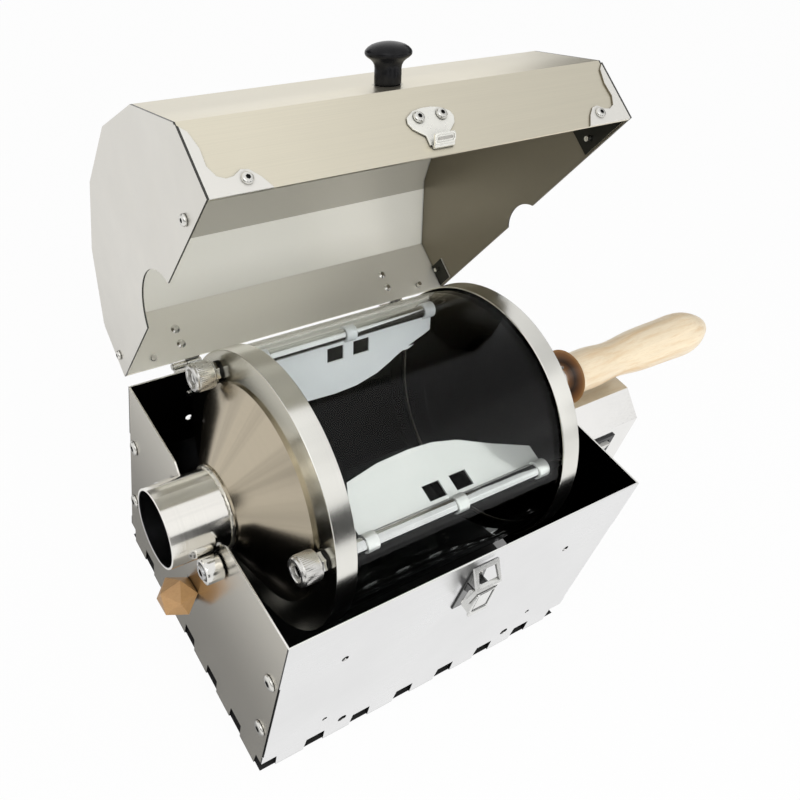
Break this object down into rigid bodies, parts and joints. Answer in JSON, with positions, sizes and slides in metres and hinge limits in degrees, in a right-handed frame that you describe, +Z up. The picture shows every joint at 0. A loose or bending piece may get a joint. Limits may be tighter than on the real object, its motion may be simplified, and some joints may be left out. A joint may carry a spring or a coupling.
{
  "type": "coffee bean roaster",
  "caption": "Countertop drum roaster: vented sheet metal box with a hinged hood, a glass drum with a discharge pipe and wooden handle, and a side gear motor under a folded cover.",
  "frame": {"origin": "centre of the open bottom of the box, on the surface it stands on", "axes": "+X along the drum from the discharge pipe to the wooden handle, -Y the front with the latch, +Z up"},
  "size_m": [0.44, 0.2517, 0.3524],
  "materials": {
    "box_steel": "satin",
    "shield_steel": "polished",
    "hood_steel": "satin",
    "hood_end_steel": "satin",
    "screw_steel": "polished",
    "bolt_steel": "machined",
    "hinge_steel": "satin",
    "latch_chrome": "polished",
    "bearing_steel": "ground",
    "knob_wood": "oiled",
    "handle_wood": "varnished",
    "knob_black": "gloss",
    "bush_metal": "machined",
    "pipe_steel": "polished",
    "cone_steel": "satin",
    "flange_steel": "polished",
    "drum_glass": "clear",
    "gasket_fibre": "woven",
    "rod_chrome": "polished",
    "thumb_nut_metal": "knurled",
    "vane_mirror": "mirror polished",
    "shaft_steel": "turned",
    "gear_metal": "machined",
    "motor_metal": "satin",
    "cover_mirror": "mirror polished",
    "switch_plastic": "satin",
    "rocker_plastic": "gloss",
    "inlet_plastic": "satin"
  },
  "bodies": {
    "base": {"left_end_wall": "box_steel", "right_end_wall": "box_steel", "front_wall": "box_steel", "back_wall": "box_steel", "front_heat_shield": "shield_steel", "back_heat_shield": "shield_steel", "wall_screws": "screw_steel", "roller_bolts": "bolt_steel", "roller_nuts": "bolt_steel", "roller_inner_rings": "bearing_steel", "wooden_knob": "knob_wood", "wooden_knob_screw": "screw_steel", "latch_base": "latch_chrome", "latch_rivets": "screw_steel", "latch_lever_pin": "latch_chrome", "hinge_left_box_leaf": "hinge_steel", "hinge_right_box_leaf": "hinge_steel", "hinge_pins": "hinge_steel", "hinge_box_rivets": "screw_steel", "shaft_bush": "bush_metal", "motor_cover": "cover_mirror", "cover_screws": "screw_steel", "gear_motor": "motor_metal", "switch_bezel": "switch_plastic", "power_inlet": "inlet_plastic"},
    "hood": {"lid_shell": "hood_steel", "lid_left_end": "hood_end_steel", "lid_right_end": "hood_end_steel", "lid_screws": "screw_steel", "lid_knob": "knob_black", "lid_knob_screw": "screw_steel", "latch_keeper": "latch_chrome", "hinge_left_lid_leaf": "hinge_steel", "hinge_right_lid_leaf": "hinge_steel", "hinge_lid_rivets": "screw_steel"},
    "drum": {"discharge_pipe": "pipe_steel", "drum_cone": "cone_steel", "front_flange": "flange_steel", "rear_flange": "flange_steel", "glass_gaskets": "gasket_fibre", "glass_cylinder": "drum_glass", "back_plate": "flange_steel", "tie_rods": "rod_chrome", "rod_nuts": "rod_chrome", "rod_washers": "rod_chrome", "thumb_nuts": "thumb_nut_metal", "vane_1": "vane_mirror", "vane_2": "vane_mirror", "vane_3": "vane_mirror", "drum_shaft": "shaft_steel", "drum_gear": "gear_metal", "handle_collar": "shaft_steel", "wooden_handle": "handle_wood"},
    "front_bearing": {"front_roller": "bearing_steel"},
    "back_bearing": {"back_roller": "bearing_steel"},
    "drive": {"motor_shaft": "shaft_steel", "drive_pinion": "gear_metal"},
    "lever": {"latch_lever": "latch_chrome"},
    "bail": {"latch_bail": "latch_chrome"},
    "rocker": {"switch_rocker": "rocker_plastic"}
  },
  "joints": [
    {"name": "hood_hinge", "type": "hinge", "parent": "base", "child": "hood", "pos_m": [0, 0.1007, 0.1456], "axis": [1, 0, 0], "range_deg": [0, 62.5]},
    {"name": "drum_spin", "type": "hinge", "parent": "base", "child": "drum", "pos_m": [0, 0, 0.137], "axis": [1, 0, 0], "continuous": true},
    {"name": "front_bearing_spin", "type": "hinge", "parent": "base", "child": "front_bearing", "pos_m": [-0.1257, -0.02786, 0.12574], "axis": [1, 0, 0], "continuous": true},
    {"name": "back_bearing_spin", "type": "hinge", "parent": "base", "child": "back_bearing", "pos_m": [-0.1257, 0.02786, 0.12574], "axis": [1, 0, 0], "continuous": true},
    {"name": "pinion_spin", "type": "hinge", "parent": "base", "child": "drive", "pos_m": [0.102, 0, 0.08385], "axis": [1, 0, 0], "continuous": true},
    {"name": "latch_lever_pivot", "type": "hinge", "parent": "base", "child": "lever", "pos_m": [0, -0.1015, 0.125], "axis": [-1, 0, 0], "range_deg": [0, 110]},
    {"name": "latch_bail_pivot", "type": "hinge", "parent": "lever", "child": "bail", "pos_m": [0, -0.102, 0.118], "axis": [-1, 0, 0], "range_deg": [-180, 0]},
    {"name": "switch_tip", "type": "hinge", "parent": "base", "child": "rocker", "pos_m": [0.184, -0.0285, 0.079], "axis": [-1, 0, 0], "range_deg": [0, 14]}
  ],
  "couplings": [
    {"joint": "front_bearing_spin", "follows": "drum_spin", "ratio": -3},
    {"joint": "back_bearing_spin", "follows": "drum_spin", "ratio": -3},
    {"joint": "pinion_spin", "follows": "drum_spin", "ratio": -2.1176},
    {"joint": "latch_bail_pivot", "follows": "latch_lever_pivot", "ratio": -1.2}
  ]
}
